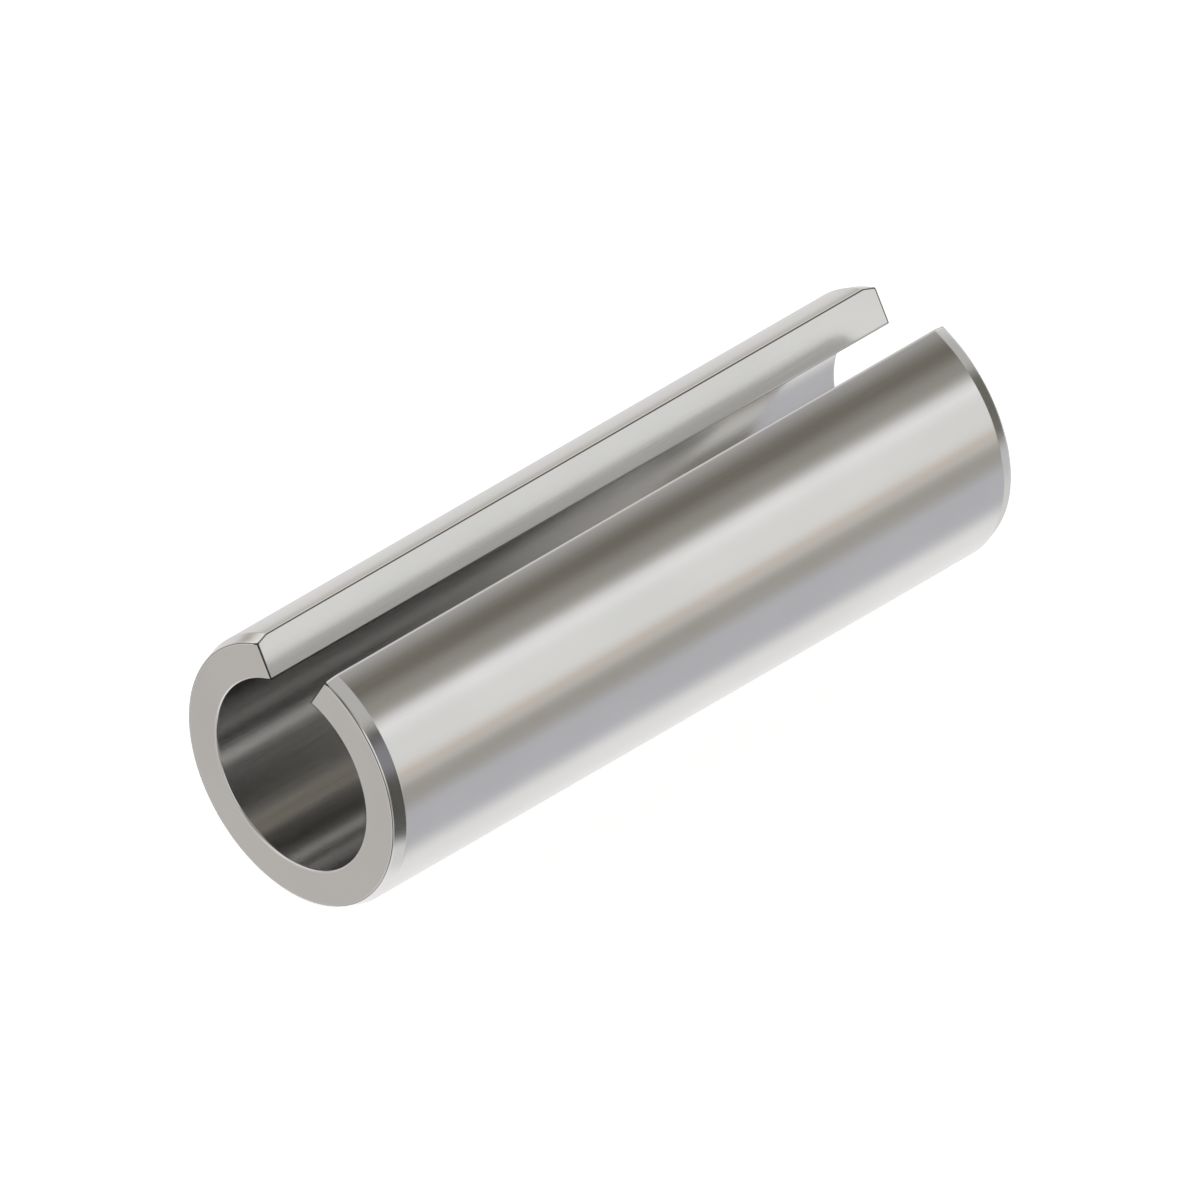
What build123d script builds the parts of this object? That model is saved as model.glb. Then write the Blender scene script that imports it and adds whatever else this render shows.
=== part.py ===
from build123d import *
import math
import os

# Slotted spring pin, nominally 13 mm by 40 mm, at its free size before it is driven into a hole.
# The axis is X, with the origin at mid-length. The slot runs the whole length and opens along +Z.

# Rolled pin at its free size
pin_length = 40.0
pin_diameter = 13.66
wall = 2.0

# Slot between the two edges of the rolled strip, measured across the corners at the bore
slot_gap = 2.5
flank_angle = 30.0

# Coned lead at each end, its angle measured from the axis
lead_length = 0.7
lead_angle = 17.5

# Rounds on the edges, small enough to leave the corners crisp
shoulder_round = 0.3
rim_round = 0.1
bore_round = 0.06
slot_edge_round = 0.05

# Places worked out from the sizes
half_length = pin_length / 2
pin_radius = pin_diameter / 2
bore_radius = pin_radius - wall
rim_radius = pin_radius - lead_length * math.tan(math.radians(lead_angle))
shoulder_place = half_length - lead_length

# The slot is a vee whose flanks pass through the bore corners and run out past the top
flank_slope = math.tan(math.radians(flank_angle))
bore_corner_height = math.sqrt(bore_radius**2 - (slot_gap / 2) ** 2)
vee_bottom = bore_corner_height - slot_gap / 2 / flank_slope
vee_top = pin_diameter
vee_half_width = (vee_top - vee_bottom) * flank_slope

with BuildPart() as spring_pin:
    # Wall turned about the axis, with a coned lead and rounded edges at both ends
    with BuildSketch(Plane.XZ) as wall_section:
        with BuildLine():
            Polyline(
                (-half_length, bore_radius),
                (half_length, bore_radius),
                (half_length, rim_radius),
                (shoulder_place, pin_radius),
                (-shoulder_place, pin_radius),
                (-half_length, rim_radius),
                close=True,
            )
        make_face()
        fillet(wall_section.vertices().group_by(Axis.Y)[-1], radius=shoulder_round)
        fillet(wall_section.vertices().group_by(Axis.Y)[1], radius=rim_round)
        fillet(wall_section.vertices().group_by(Axis.Y)[0], radius=bore_round)
    revolve(axis=Axis.X)

    # Slot cut along the whole length, through the leads too
    with BuildSketch(Plane.YZ.offset(-half_length)):
        with BuildLine():
            Polyline(
                (0, vee_bottom),
                (vee_half_width, vee_top),
                (-vee_half_width, vee_top),
                close=True,
            )
        make_face()
    extrude(amount=pin_length, mode=Mode.SUBTRACT)

    # Rounded edges all the way round each flank of the slot
    flanks = spring_pin.faces().filter_by(GeomType.PLANE).filter_by(Axis.X, reverse=True)
    fillet(flanks.edges(), radius=slot_edge_round)

spring_pin.part.label = "spring_pin"
os.makedirs("parts", exist_ok=True)
export_step(spring_pin.part, "parts/spring_pin.step")
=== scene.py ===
import math

import bmesh
import bpy
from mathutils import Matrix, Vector


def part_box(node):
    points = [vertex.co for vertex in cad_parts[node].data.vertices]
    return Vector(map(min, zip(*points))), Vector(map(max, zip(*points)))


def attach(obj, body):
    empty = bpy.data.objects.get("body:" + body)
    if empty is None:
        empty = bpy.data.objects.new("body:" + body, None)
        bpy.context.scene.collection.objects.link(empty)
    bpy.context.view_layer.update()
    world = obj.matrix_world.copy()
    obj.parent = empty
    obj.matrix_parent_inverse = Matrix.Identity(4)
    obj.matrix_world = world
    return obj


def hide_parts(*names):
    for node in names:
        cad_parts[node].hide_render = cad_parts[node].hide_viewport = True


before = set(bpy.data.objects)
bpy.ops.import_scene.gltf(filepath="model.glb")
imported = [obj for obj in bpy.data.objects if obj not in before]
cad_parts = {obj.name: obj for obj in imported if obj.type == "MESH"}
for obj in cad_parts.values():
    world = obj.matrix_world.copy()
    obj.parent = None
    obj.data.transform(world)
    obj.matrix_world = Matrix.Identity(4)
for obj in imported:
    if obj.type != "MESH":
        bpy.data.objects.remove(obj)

bl_info = {
    "name": "Slotted Spring Pin",
    "version": (1, 0, 0),
    "blender": (4, 5, 0),
    "location": "View3D > Sidebar > Spring Pin",
    "description": "Builds a rolled spring pin in satin steel and the studio it is photographed in",
    "category": "Object",
}

NODE = "spring_pin"
PIECE = "rolled_pin"
BODY = "root"
CRISP_EDGE = "crisp_edge"

MM = 0.001

# Distance and angle under which two places, or two turns round the axis, are the same
SAME_PLACE = 1e-7
SAME_TURN = 1e-5

# Angle between two faces from which their edge is a crisp one and gets a round
CRISP_ANGLE = math.radians(45.0)

FLOOR_WHITE = (0.8, 0.8, 0.8, 1.0)

low_corner, high_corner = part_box(NODE)
PIN_LENGTH = high_corner.x - low_corner.x
PIN_DIAMETER = high_corner.y - low_corner.y
FLOOR_HEIGHT = low_corner.z


class PinSizes(bpy.types.PropertyGroup):
    length: bpy.props.FloatProperty(
        name="Length",
        description="Length of the pin along its axis",
        default=PIN_LENGTH,
        unit="LENGTH",
    )
    diameter: bpy.props.FloatProperty(
        name="Diameter",
        description="Outside diameter of the pin before it is driven in",
        default=PIN_DIAMETER,
        unit="LENGTH",
    )
    wall: bpy.props.FloatProperty(
        name="Wall",
        description="Thickness of the rolled strip",
        default=2.0 * MM,
        unit="LENGTH",
    )
    slot_gap: bpy.props.FloatProperty(
        name="Slot Gap",
        description="Width of the slot across the corners at the bore",
        default=2.5 * MM,
        unit="LENGTH",
    )
    flank_angle: bpy.props.FloatProperty(
        name="Flank Angle",
        description="Slope of each slot flank from the upright",
        default=math.radians(30.0),
        subtype="ANGLE",
    )
    lead_length: bpy.props.FloatProperty(
        name="Lead Length",
        description="Length of the coned lead at each end",
        default=0.7 * MM,
        unit="LENGTH",
    )
    lead_angle: bpy.props.FloatProperty(
        name="Lead Angle",
        description="Slope of the lead from the axis",
        default=math.radians(17.5),
        subtype="ANGLE",
    )
    edge_round: bpy.props.FloatProperty(
        name="Edge Round",
        description="How far the tight round of a crisp edge runs over its two faces",
        default=0.11 * MM,
        unit="LENGTH",
    )
    edge_reach: bpy.props.FloatProperty(
        name="Edge Reach",
        description="How far from a crisp edge its faces are flat again",
        default=0.14 * MM,
        unit="LENGTH",
    )
    shoulder_reach: bpy.props.FloatProperty(
        name="Shoulder Reach",
        description="How far the shallow shoulder between lead and cylinder is softened",
        default=0.05 * MM,
        unit="LENGTH",
    )
    steps: bpy.props.IntProperty(
        name="Steps",
        description="Steps that the wall is turned in",
        default=192,
    )


class SteelFinish(bpy.types.PropertyGroup):
    steel: bpy.props.FloatVectorProperty(
        name="Steel",
        description="Colour of the tumbled strip",
        default=(0.75, 0.745, 0.735),
        subtype="COLOR",
        min=0.0,
        max=1.0,
    )
    bore: bpy.props.FloatVectorProperty(
        name="Bore",
        description="Colour of the steel inside the bore",
        default=(0.75, 0.745, 0.735),
        subtype="COLOR",
        min=0.0,
        max=1.0,
    )
    # Painted dark reflection: the colour of a dark line painted on the edge rounds where their dark
    # reflections fall
    painted_reflection: bpy.props.FloatVectorProperty(
        name="Oxide",
        description="Colour of the thin dark line along the crisp edges",
        default=(0.06, 0.057, 0.053),
        subtype="COLOR",
        min=0.0,
        max=1.0,
    )
    roughness: bpy.props.FloatProperty(
        name="Roughness",
        description="How satin the tumbled steel is",
        default=0.17,
        subtype="FACTOR",
        min=0.0,
        max=1.0,
    )
    bore_roughness: bpy.props.FloatProperty(
        name="Bore Roughness",
        description="How satin the steel is inside the bore",
        default=0.2,
        subtype="FACTOR",
        min=0.0,
        max=1.0,
    )
    outside_lines: bpy.props.FloatProperty(
        name="Outside Lines",
        description="Share of the outside's grain that is rolling lines, the rest being tumbling marks",
        default=0.5,
        subtype="FACTOR",
        min=0.0,
        max=1.0,
    )
    bore_lines: bpy.props.FloatProperty(
        name="Bore Lines",
        description="Share of the bore's grain that is rolling lines",
        default=0.85,
        subtype="FACTOR",
        min=0.0,
        max=1.0,
    )
    tone_variation: bpy.props.FloatProperty(
        name="Tone Variation",
        description="How far the clouds lighten and darken the steel",
        default=0.02,
        subtype="FACTOR",
        min=0.0,
        max=1.0,
    )
    roughness_variation: bpy.props.FloatProperty(
        name="Roughness Variation",
        description="How far the rolling lines change the roughness, as a share of it",
        default=0.12,
        subtype="FACTOR",
        min=0.0,
        max=1.0,
    )
    grain_depth: bpy.props.FloatProperty(
        name="Grain Depth",
        description="Depth of the grain outside",
        default=0.0008 * MM,
        precision=6,
        unit="LENGTH",
    )
    bore_depth: bpy.props.FloatProperty(
        name="Bore Depth",
        description="Depth of the grain in the bore",
        default=0.0003 * MM,
        precision=6,
        unit="LENGTH",
    )
    line_start: bpy.props.FloatProperty(
        name="Line Start",
        description="Where the dark line begins, from nought at a round's border to one at its middle",
        default=0.68,
        subtype="FACTOR",
        min=0.0,
        max=1.0,
    )
    line_full: bpy.props.FloatProperty(
        name="Line Full",
        description="Where on an edge round the dark line is at its darkest",
        default=0.95,
        subtype="FACTOR",
        min=0.0,
        max=1.0,
    )
    burnish: bpy.props.FloatProperty(
        name="Burnish",
        description="How much smoother the rounds are beside the dark line",
        default=0.05,
        subtype="FACTOR",
        min=0.0,
        max=1.0,
    )


# Widths of the grain in the steel, in metres: a rolling line, a tumbling mark and a cloud of tone
ROLLING_LINE = 0.09 * MM
TUMBLING_MARK = 0.12 * MM
CLOUD = 5.0 * MM

# Values of the noise between which the clouds go from dark to light, and the lines from smooth to rough
CLOUD_RANGE = (0.3, 0.7)
LINE_RANGE = (0.25, 0.75)

# Levels of the painted dark reflection line where it isn't one: painted shade on the edge rounds in
# place of the dark reflections they show, wider where the end faces meet the slot flanks, none on the
# rims of the bore, which are only burnished, and nothing on the outer lip of the flank on the -Y side
SHEARED_CORNER = 1.7
BORE_RIM = 0.6
ROLLED_LIP = 0.0


class StudioLook(bpy.types.PropertyGroup):
    azimuth: bpy.props.FloatProperty(
        name="Azimuth",
        description="Heading of the camera round the pin",
        default=math.radians(-45.0),
        subtype="ANGLE",
    )
    elevation: bpy.props.FloatProperty(
        name="Elevation",
        description="Height of the camera above the horizon, as in an isometric drawing",
        default=math.atan(math.sqrt(0.5)),
        subtype="ANGLE",
    )
    distance: bpy.props.FloatProperty(
        name="Distance",
        description="How far the camera stands from the pin",
        default=0.5,
        unit="LENGTH",
    )
    floor_size: bpy.props.FloatProperty(
        name="Floor Size",
        description="Width of the white floor",
        default=12.0,
        unit="LENGTH",
    )
    room_level: bpy.props.FloatVectorProperty(
        name="Room Level",
        description="Tone of the room between its panels",
        default=(1.0, 0.99, 0.98),
        subtype="COLOR",
        min=0.0,
        max=1.0,
    )
    floor_lift: bpy.props.FloatProperty(
        name="Floor Lift",
        description="Share of the floor's white that no shadow takes away",
        default=0.7,
        subtype="FACTOR",
        min=0.0,
        max=1.0,
    )


# The photograph is a square of 1200 pixels, and the pin's diameter is 298.7 of them
PHOTO_PIXELS = 1200
DIAMETER_PIXELS = 298.7
PIN_MIDDLE_PIXEL = (599.9, 596.4)


def deselect_everything():
    if bpy.context.object and bpy.context.object.mode != "OBJECT":
        bpy.ops.object.mode_set(mode="OBJECT")
    bpy.ops.object.select_all(action="DESELECT")


def edit(obj):
    deselect_everything()
    obj.select_set(True)
    bpy.context.view_layer.objects.active = obj
    bpy.ops.object.mode_set(mode="EDIT")


def pick(obj, kind, test):
    """Selects the vertices, edges or faces that pass the test, and nothing else."""
    bpy.ops.mesh.select_mode(type=kind)
    bpy.ops.mesh.select_all(action="DESELECT")
    mesh = bmesh.from_edit_mesh(obj.data)
    parts = {"VERT": mesh.verts, "EDGE": mesh.edges, "FACE": mesh.faces}[kind]
    for part in parts:
        part.select_set(test(part))
    mesh.select_flush_mode()
    bmesh.update_edit_mesh(obj.data)


def apply_place(obj):
    deselect_everything()
    obj.select_set(True)
    bpy.context.view_layer.objects.active = obj
    bpy.ops.object.transform_apply(location=True, rotation=True, scale=True)


def bisect(place, normal, clear=False):
    bpy.ops.mesh.select_all(action="SELECT")
    bpy.ops.mesh.bisect(plane_co=place, plane_no=normal, clear_outer=clear, threshold=SAME_PLACE)


def wall_section(sizes, radius, bore_radius, rim_radius):
    """A flat outline of the wall above the axis, with its leads and the lines beside its edges."""
    half = sizes.length / 2
    reach = sizes.edge_reach
    shoulder = half - sizes.lead_length
    deselect_everything()
    bpy.ops.mesh.primitive_plane_add(
        size=1.0,
        location=(0.0, 0.0, (radius + bore_radius) / 2),
        rotation=(math.pi / 2, 0.0, 0.0),
    )
    section = bpy.context.object
    section.name = PIECE
    section.scale = (sizes.length, radius - bore_radius, 1.0)
    apply_place(section)
    edit(section)
    rise, run = math.cos(sizes.lead_angle), math.sin(sizes.lead_angle)
    for end in (-1.0, 1.0):
        bisect((end * half, 0.0, rim_radius), (end * run, 0.0, rise), clear=True)
        for inset in (half - reach, shoulder + sizes.shoulder_reach, shoulder - sizes.shoulder_reach):
            bisect((end * inset, 0.0, 0.0), (1.0, 0.0, 0.0))
    for height in (bore_radius + reach, rim_radius - reach):
        bisect((0.0, 0.0, height), (0.0, 0.0, 1.0))
    pick(section, "EDGE", lambda edge: not edge.is_boundary)
    bpy.ops.mesh.delete(type="EDGE")
    bpy.ops.object.mode_set(mode="OBJECT")
    return section


def flank_turn(sizes, bore_radius, radius, depth):
    """Angle from the upright at which a circle of this radius meets the flank, or a plane behind it."""
    corner = math.sqrt(bore_radius**2 - (sizes.slot_gap / 2) ** 2)
    sine, cosine = math.sin(sizes.flank_angle), math.cos(sizes.flank_angle)
    offset = sine * corner - cosine * sizes.slot_gap / 2 - depth
    return sizes.flank_angle - math.asin(offset / radius)


def close_flank(obj, sizes, bore_radius, start, side):
    """Runs the open wall on from the last turned section to its slot flank, and closes it."""

    def in_section(vert):
        turn = math.atan2(-vert.co.y, vert.co.z)
        return abs(turn - side * start) < SAME_TURN

    pick(obj, "EDGE", lambda edge: edge.is_boundary and all(in_section(v) for v in edge.verts))
    for depth in (sizes.edge_reach, 0.0):
        bpy.ops.mesh.extrude_region_move()
        mesh = bmesh.from_edit_mesh(obj.data)
        for vert in [v for v in mesh.verts if v.select]:
            radius = math.hypot(vert.co.y, vert.co.z)
            turn = side * flank_turn(sizes, bore_radius, radius, depth)
            vert.co = Vector((vert.co.x, -radius * math.sin(turn), radius * math.cos(turn)))
        bmesh.update_edit_mesh(obj.data)
    bpy.ops.mesh.edge_face_add()
    bpy.ops.mesh.inset(thickness=sizes.edge_reach, use_even_offset=True)


def edge_level(place, sizes, bore_edge, slot_turn):
    """How strong the painted dark reflection line is at a place on the middle line of an edge round."""
    at_end = abs(place.x) > sizes.length / 2 - sizes.edge_reach
    in_bore = math.hypot(place.y, place.z) < bore_edge
    on_flank = abs(math.atan2(place.y, place.z)) < slot_turn
    if at_end and on_flank:
        return SHEARED_CORNER
    if at_end and in_bore:
        return BORE_RIM
    if on_flank and place.y < 0.0 and not in_bore:
        return ROLLED_LIP
    return 1.0


def mark_crisp_edges(obj, sizes, bore_edge, slot_turn):
    """Writes a level on the middle line of each new edge round and nought elsewhere, for the painted
    dark reflection line and the burnish of the finish.
    """
    mesh = bmesh.from_edit_mesh(obj.data)
    crisp = mesh.verts.layers.float.new(CRISP_EDGE)
    for vert in mesh.verts:
        if all(face.select for face in vert.link_faces):
            vert[crisp] = edge_level(vert.co, sizes, bore_edge, slot_turn)
    bmesh.update_edit_mesh(obj.data)


def give_finish(obj, finish, bore_edge):
    """Tumbled steel all over, apart from the bore, which tumbling hardly reaches."""
    grain = strip_grain_group()
    painted_line = painted_line_group()
    outside = (finish.steel, finish.roughness, finish.outside_lines, finish.grain_depth)
    inside = (finish.bore, finish.bore_roughness, finish.bore_lines, finish.bore_depth)
    for name, values in (("tumbled_steel", outside), ("bore_steel", inside)):
        obj.data.materials.append(steel_material(name, grain, painted_line, *values, finish))
    edit(obj)
    pick(obj, "FACE", lambda face: math.hypot(*face.calc_center_median().yz) < bore_edge)
    obj.active_material_index = 1
    bpy.ops.object.material_slot_assign()
    bpy.ops.object.mode_set(mode="OBJECT")


class SPRINGPIN_OT_roll_pin(bpy.types.Operator):
    """Turns the wall section into the open pin and closes its two slot flanks"""

    bl_idname = "spring_pin.roll_pin"
    bl_label = "Rolled Pin"

    def execute(self, context):
        sizes = context.scene.pin_sizes
        radius = sizes.diameter / 2
        bore_radius = radius - sizes.wall
        rim_radius = radius - sizes.lead_length * math.tan(sizes.lead_angle)
        pin = wall_section(sizes, radius, bore_radius, rim_radius)

        start = flank_turn(sizes, bore_radius, radius, 2 * sizes.edge_reach)
        pin.rotation_euler = (start, 0.0, 0.0)
        apply_place(pin)
        edit(pin)
        bpy.ops.mesh.select_all(action="SELECT")
        bpy.ops.mesh.spin(
            steps=sizes.steps,
            angle=2 * math.pi - 2 * start,
            center=(0.0, 0.0, 0.0),
            axis=(-1.0, 0.0, 0.0),
        )
        for side in (1.0, -1.0):
            close_flank(pin, sizes, bore_radius, start, side)
        bpy.ops.mesh.select_all(action="SELECT")
        bpy.ops.mesh.remove_doubles(threshold=SAME_PLACE)
        bpy.ops.mesh.normals_make_consistent(inside=False)
        bpy.ops.mesh.select_mode(type="EDGE")
        bpy.ops.mesh.select_all(action="DESELECT")
        bpy.ops.mesh.edges_select_sharp(sharpness=CRISP_ANGLE)
        bpy.ops.mesh.bevel(
            offset=sizes.edge_round,
            segments=2,
            profile=0.7,
            affect="EDGES",
        )
        # Between the middle line of the bore's edge round and the round's border on the end face
        bore_edge = bore_radius + sizes.edge_round / 3
        mark_crisp_edges(pin, sizes, bore_edge, start)
        bpy.ops.object.mode_set(mode="OBJECT")
        bpy.ops.object.shade_smooth()
        give_finish(pin, context.scene.steel_finish, bore_edge)

        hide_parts(NODE)
        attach(pin, BODY)
        return {"FINISHED"}


def feed(tree, socket, value):
    """Links an output to a socket, or sets the socket where the value is a plain one."""
    if isinstance(value, bpy.types.NodeSocket):
        tree.links.new(value, socket)
    else:
        socket.default_value = value


def math_node(tree, operation, *values):
    node = tree.nodes.new("ShaderNodeMath")
    node.operation = operation
    for socket, value in zip(node.inputs, values):
        feed(tree, socket, value)
    return node.outputs[0]


def vector_node(tree, operation, first, second, output="Vector"):
    node = tree.nodes.new("ShaderNodeVectorMath")
    node.operation = operation
    feed(tree, node.inputs[0], first)
    feed(tree, node.inputs[1], second)
    return node.outputs[output]


def remap(tree, value, start, stop, low, high):
    """Smooth change from low to high as the value goes from start to stop."""
    node = tree.nodes.new("ShaderNodeMapRange")
    node.interpolation_type = "SMOOTHSTEP"
    names = ("Value", "From Min", "From Max", "To Min", "To Max")
    for name, given in zip(names, (value, start, stop, low, high)):
        feed(tree, node.inputs[name], given)
    return node.outputs["Result"]


def blend(tree, factor, first, second):
    node = tree.nodes.new("ShaderNodeMix")
    node.data_type = "RGBA"
    feed(tree, node.inputs["Factor"], factor)
    feed(tree, node.inputs["A"], first)
    feed(tree, node.inputs["B"], second)
    return node.outputs["Result"]


def new_group(name, given, put):
    """An empty node group with its sockets, each named with its kind: Float, Vector or Color."""
    group = bpy.data.node_groups.new(name, "ShaderNodeTree")
    for way, sockets in (("INPUT", given), ("OUTPUT", put)):
        for socket, kind in sockets:
            group.interface.new_socket(socket, in_out=way, socket_type=f"NodeSocket{kind}")
    return group, group.nodes.new("NodeGroupInput").outputs, group.nodes.new("NodeGroupOutput").inputs


def noise(tree, place, size, stretch=1.0, detail=2.0):
    """Noise with spots of this size in metres, drawn out along the pin by the stretch."""
    mapping = tree.nodes.new("ShaderNodeMapping")
    mapping.inputs["Scale"].default_value = (1 / (size * stretch), 1 / size, 1 / size)
    feed(tree, mapping.inputs["Vector"], place)
    node = tree.nodes.new("ShaderNodeTexNoise")
    node.inputs["Scale"].default_value = 1.0
    node.inputs["Detail"].default_value = detail
    feed(tree, node.inputs["Vector"], mapping.outputs["Vector"])
    return node.outputs["Fac"]


def strip_grain_group():
    """Rolling lines along the strip, the marks that tumbling leaves, and slow clouds of tone."""
    group, given, put = new_group(
        "strip_grain",
        (("Place", "Vector"), ("Line Share", "Float")),
        (("Height", "Float"), ("Clouds", "Float"), ("Lines", "Float")),
    )
    place = given["Place"]
    lines = noise(group, place, ROLLING_LINE, stretch=60.0, detail=3.0)
    marks = noise(group, place, TUMBLING_MARK, detail=3.0)
    clouds = noise(group, place, CLOUD, stretch=1.6)
    line_part = math_node(group, "MULTIPLY", lines, given["Line Share"])
    mark_share = math_node(group, "SUBTRACT", 1.0, given["Line Share"])
    mark_part = math_node(group, "MULTIPLY", marks, mark_share)
    feed(group, put["Height"], math_node(group, "ADD", line_part, mark_part))
    feed(group, put["Clouds"], clouds)
    feed(group, put["Lines"], lines)
    return group


def painted_line_group():
    """A thin painted dark reflection line on each crisp edge, in place of the dark reflection of its
    round, and the burnished band on both sides of it.
    """
    group, given, put = new_group(
        "painted_line",
        (
            ("Edge", "Float"),
            ("Steel", "Color"),
            ("Oxide", "Color"),
            ("Start", "Float"),
            ("Full", "Float"),
        ),
        (("Colour", "Color"), ("Band", "Float")),
    )
    line = remap(group, given["Edge"], given["Start"], given["Full"], 0.0, 1.0)
    band = remap(group, given["Edge"], 0.0, given["Start"], 0.0, 1.0)
    clear = math_node(group, "SUBTRACT", 1.0, line)
    feed(group, put["Colour"], blend(group, line, given["Steel"], given["Oxide"]))
    feed(group, put["Band"], math_node(group, "MULTIPLY", band, clear))
    return group


def placed(tree, group, **values):
    """A group in a tree, with its inputs by name, where an underscore stands for a space."""
    node = tree.nodes.new("ShaderNodeGroup")
    node.node_tree = group
    for name, value in values.items():
        feed(tree, node.inputs[name.replace("_", " ")], value)
    return node.outputs


def steel_material(name, grain, painted_line, colour, roughness, line_share, depth, finish):
    """Satin steel whose roughness and surface vary with its grain and along its edges, and whose colour
    varies with its grain and carries a painted dark reflection line along its edges.
    """
    material = bpy.data.materials.new(name)
    material.use_nodes = True
    tree = material.node_tree
    shader = tree.nodes["Principled BSDF"]
    shader.inputs["Metallic"].default_value = 1.0
    place = tree.nodes.new("ShaderNodeTexCoord").outputs["Object"]
    crisp = tree.nodes.new("ShaderNodeAttribute")
    crisp.attribute_name = CRISP_EDGE

    surface = placed(tree, grain, Place=place, Line_Share=line_share)
    light = (*(channel * (1 + finish.tone_variation) for channel in colour), 1.0)
    dark = (*(channel * (1 - finish.tone_variation) for channel in colour), 1.0)
    steel = blend(tree, remap(tree, surface["Clouds"], *CLOUD_RANGE, 0.0, 1.0), dark, light)
    edge = placed(
        tree,
        painted_line,
        Edge=crisp.outputs["Fac"],
        Steel=steel,
        Oxide=(*finish.painted_reflection, 1.0),
        Start=finish.line_start,
        Full=finish.line_full,
    )
    # The base colour carries the painted dark reflection line along the edge rounds
    feed(tree, shader.inputs["Base Color"], edge["Colour"])

    spread = roughness * finish.roughness_variation
    satin = remap(tree, surface["Lines"], *LINE_RANGE, roughness - spread, roughness + spread)
    burnished = math_node(tree, "MULTIPLY", edge["Band"], finish.burnish)
    feed(tree, shader.inputs["Roughness"], math_node(tree, "SUBTRACT", satin, burnished))

    bump = tree.nodes.new("ShaderNodeBump")
    bump.inputs["Strength"].default_value = 1.0
    bump.inputs["Distance"].default_value = depth
    feed(tree, bump.inputs["Height"], surface["Height"])
    feed(tree, shader.inputs["Normal"], bump.outputs["Normal"])
    return material


def soft_edge(tree, value, reach, edge):
    """One inside the reach and nought outside it, with an edge that is soft by as much each way."""
    inner = math_node(tree, "SUBTRACT", reach, edge)
    outer = math_node(tree, "ADD", reach, edge)
    return remap(tree, value, inner, outer, 1.0, 0.0)


def strip_panel_group():
    """A soft-edged panel that hangs parallel to the pin, told by its bearing round the pin's axis."""
    group, given, put = new_group(
        "strip_panel",
        (
            ("Room", "Color"),
            ("Tone", "Color"),
            ("Round", "Vector"),
            ("Toward", "Vector"),
            ("Spread", "Float"),
            ("Edge", "Float"),
            ("Along", "Float"),
            ("Middle", "Float"),
            ("Reach", "Float"),
            ("End Edge", "Float"),
        ),
        (("Colour", "Color"),),
    )
    dot = vector_node(group, "DOT_PRODUCT", given["Round"], given["Toward"], output="Value")
    turn = math_node(group, "ARCCOSINE", dot)
    off_middle = math_node(group, "SUBTRACT", given["Along"], given["Middle"])
    apart = math_node(group, "ABSOLUTE", off_middle)
    across = soft_edge(group, turn, given["Spread"], given["Edge"])
    along = soft_edge(group, apart, given["Reach"], given["End Edge"])
    cover = math_node(group, "MULTIPLY", across, along)
    feed(group, put["Colour"], blend(group, cover, given["Room"], given["Tone"]))
    return group


# The panels that hang round the pin, far away and parallel to it, each over the ones before it.
# Bearings go round the pin's axis from +Y over the top, and the second three angles are measured
# from the axis: middle, half width and soft edge, all in degrees.
PANELS = (
    ("far floor", 270, 65, 25, 20, 33, 5, (0.75, 0.74, 0.74)),
    ("left wall", 345, 26, 12, 90, 100, 5, (0.79, 0.78, 0.77)),
    ("slot card", 38, 16, 8, 54, 16, 8, (0.74, 0.74, 0.735)),
    ("brown strip", 6, 6, 6, 60, 25, 10, (0.49, 0.44, 0.38)),
    ("ceiling", 105, 44, 20, 90, 100, 5, (0.56, 0.55, 0.54)),
    ("ceiling flag", 105, 14, 13, 52, 21, 9, (0.175, 0.162, 0.135)),
    ("flag fringe", 124, 4.5, 10, 52, 21, 9, (0.285, 0.265, 0.225)),
    ("blue wall", 220, 28, 12, 52, 24.5, 15, (0.56, 0.56, 0.595)),
    ("front dark", 179.2, 44.2, 7, 98, 22, 6, (0.092, 0.09, 0.082)),
    ("front window", 158.5, 12.5, 7, 90, 8, 5, (0.28, 0.275, 0.30)),
    ("key softbox", 158, 24, 6, 54, 18, 6, (0.86, 0.86, 0.85)),
    ("key stripe", 141, 5, 5, 54, 18, 6, (1.0, 0.99, 1.0)),
    ("warm strip", 179, 4, 4, 54, 18, 6, (0.69, 0.605, 0.525)),
    ("olive card", 195, 11, 8, 54, 22, 6, (0.41, 0.395, 0.36)),
    ("far dark", 170, 47, 12, 0, 31, 5, (0.15, 0.148, 0.127)),
)
TABLE_CARD = ("table card", 315, 30, 12, 125, 30, 12, (0.59, 0.57, 0.55))


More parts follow.
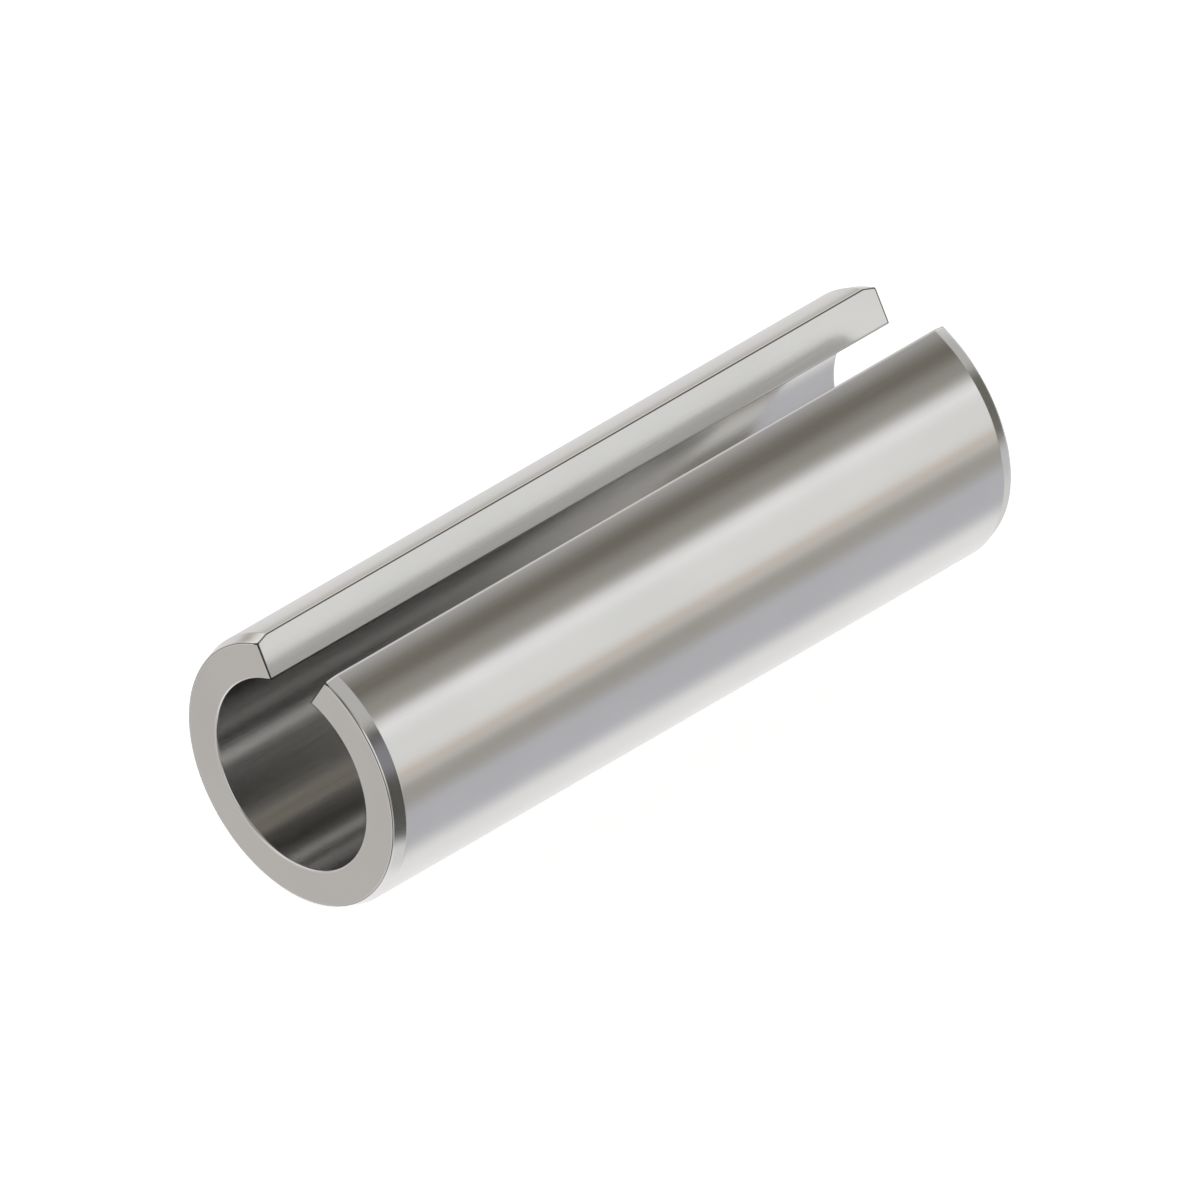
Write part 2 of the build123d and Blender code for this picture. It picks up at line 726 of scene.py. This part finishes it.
def build_room(look):
    """The world: white to the camera, and a room with far panels round the pin to the metal."""
    world = bpy.data.worlds.new("studio_room")
    bpy.context.scene.world = world
    world.use_nodes = True
    tree = world.node_tree
    nodes = tree.nodes
    nodes.clear()
    direction = nodes.new("ShaderNodeTexCoord").outputs["Generated"]
    around = nodes.new("ShaderNodeVectorMath")
    around.operation = "NORMALIZE"
    feed(tree, around.inputs[0], vector_node(tree, "MULTIPLY", direction, (0.0, 1.0, 1.0)))
    split = nodes.new("ShaderNodeSeparateXYZ")
    feed(tree, split.inputs[0], direction)
    from_axis = math_node(tree, "ARCCOSINE", split.outputs["X"])
    from_either_end = math_node(tree, "ARCCOSINE", math_node(tree, "ABSOLUTE", split.outputs["X"]))

    group = strip_panel_group()
    room = (*look.room_level, 1.0)
    for row in (*PANELS, TABLE_CARD):
        name, bearing, spread, edge, middle, reach, end_edge, tone = row
        turn = math.radians(bearing)
        room = placed(
            tree,
            group,
            Room=room,
            Tone=(*tone, 1.0),
            Round=around.outputs["Vector"],
            Toward=(0.0, math.cos(turn), math.sin(turn)),
            Spread=math.radians(spread),
            Edge=math.radians(edge),
            Along=from_axis if row is TABLE_CARD else from_either_end,
            Middle=math.radians(middle),
            Reach=math.radians(reach),
            End_Edge=math.radians(end_edge),
        )["Colour"]
        room.node.label = name

    seen = nodes.new("ShaderNodeBackground")
    seen.inputs["Color"].default_value = (1.0, 1.0, 1.0, 1.0)
    lit = nodes.new("ShaderNodeBackground")
    feed(tree, lit.inputs["Color"], room)
    choose = nodes.new("ShaderNodeMixShader")
    feed(tree, choose.inputs[0], nodes.new("ShaderNodeLightPath").outputs["Is Camera Ray"])
    feed(tree, choose.inputs[1], lit.outputs[0])
    feed(tree, choose.inputs[2], seen.outputs[0])
    output = nodes.new("ShaderNodeOutputWorld")
    feed(tree, output.inputs["Surface"], choose.outputs[0])


def build_floor(look):
    deselect_everything()
    bpy.ops.mesh.primitive_plane_add(size=look.floor_size, location=(0.0, 0.0, FLOOR_HEIGHT))
    floor = bpy.context.object
    floor.name = "floor"
    apply_place(floor)
    material = bpy.data.materials.new("white_floor")
    material.use_nodes = True
    tree = material.node_tree
    nodes = tree.nodes
    nodes.clear()
    matt = nodes.new("ShaderNodeBsdfDiffuse")
    matt.inputs["Color"].default_value = FLOOR_WHITE
    glow = nodes.new("ShaderNodeEmission")
    seen = nodes.new("ShaderNodeLightPath").outputs["Is Camera Ray"]
    feed(tree, glow.inputs["Strength"], math_node(tree, "MULTIPLY", seen, look.floor_lift))
    both = nodes.new("ShaderNodeAddShader")
    feed(tree, both.inputs[0], matt.outputs[0])
    feed(tree, both.inputs[1], glow.outputs[0])
    output = nodes.new("ShaderNodeOutputMaterial")
    feed(tree, output.inputs["Surface"], both.outputs[0])
    floor.data.materials.append(material)
    floor.visible_glossy = False


def build_camera(look):
    turn, rise = look.azimuth, look.elevation
    back = Vector(
        (
            math.sin(turn) * math.cos(rise),
            -math.cos(turn) * math.cos(rise),
            math.sin(rise),
        )
    )
    facing = (-back).to_track_quat("-Z", "Y")
    right = facing @ Vector((1.0, 0.0, 0.0))
    up = facing @ Vector((0.0, 1.0, 0.0))
    pixel = PIN_DIAMETER / DIAMETER_PIXELS
    middle = PHOTO_PIXELS / 2
    aside = middle - PIN_MIDDLE_PIXEL[0]
    below = middle - PIN_MIDDLE_PIXEL[1]
    deselect_everything()
    bpy.ops.object.camera_add(
        location=back * look.distance + (right * aside - up * below) * pixel,
        rotation=facing.to_euler(),
    )
    camera = bpy.context.object
    camera.name = "photo_camera"
    camera.data.type = "ORTHO"
    camera.data.ortho_scale = PHOTO_PIXELS * pixel
    bpy.context.scene.camera = camera


class SPRINGPIN_OT_set_stage(bpy.types.Operator):
    """Sets up the floor, the room and the camera"""

    bl_idname = "spring_pin.set_stage"
    bl_label = "Studio"

    def execute(self, context):
        look = context.scene.studio_look
        build_floor(look)
        build_room(look)
        build_camera(look)
        view = context.scene.view_settings
        view.view_transform = "Standard"
        return {"FINISHED"}


class SPRINGPIN_PT_panel(bpy.types.Panel):
    bl_label = "Spring Pin"
    bl_idname = "SPRINGPIN_PT_panel"
    bl_space_type = "VIEW_3D"
    bl_region_type = "UI"
    bl_category = "Spring Pin"

    def draw(self, context):
        layout = self.layout
        scene = context.scene
        for group, names, operator in (
            (scene.pin_sizes, PinSizes.__annotations__, SPRINGPIN_OT_roll_pin),
            (scene.steel_finish, SteelFinish.__annotations__, None),
            (scene.studio_look, StudioLook.__annotations__, SPRINGPIN_OT_set_stage),
        ):
            box = layout.box()
            for name in names:
                box.prop(group, name)
            if operator:
                box.operator(operator.bl_idname)


CLASSES = (
    PinSizes,
    SteelFinish,
    StudioLook,
    SPRINGPIN_OT_roll_pin,
    SPRINGPIN_OT_set_stage,
    SPRINGPIN_PT_panel,
)


def register():
    for cls in CLASSES:
        bpy.utils.register_class(cls)
    bpy.types.Scene.pin_sizes = bpy.props.PointerProperty(type=PinSizes)
    bpy.types.Scene.steel_finish = bpy.props.PointerProperty(type=SteelFinish)
    bpy.types.Scene.studio_look = bpy.props.PointerProperty(type=StudioLook)


def unregister():
    del bpy.types.Scene.studio_look
    del bpy.types.Scene.steel_finish
    del bpy.types.Scene.pin_sizes
    for cls in reversed(CLASSES):
        bpy.utils.unregister_class(cls)


def main():
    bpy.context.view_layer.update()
    register()
    bpy.ops.spring_pin.set_stage()
    bpy.ops.spring_pin.roll_pin()


if __name__ == "__main__":
    main()
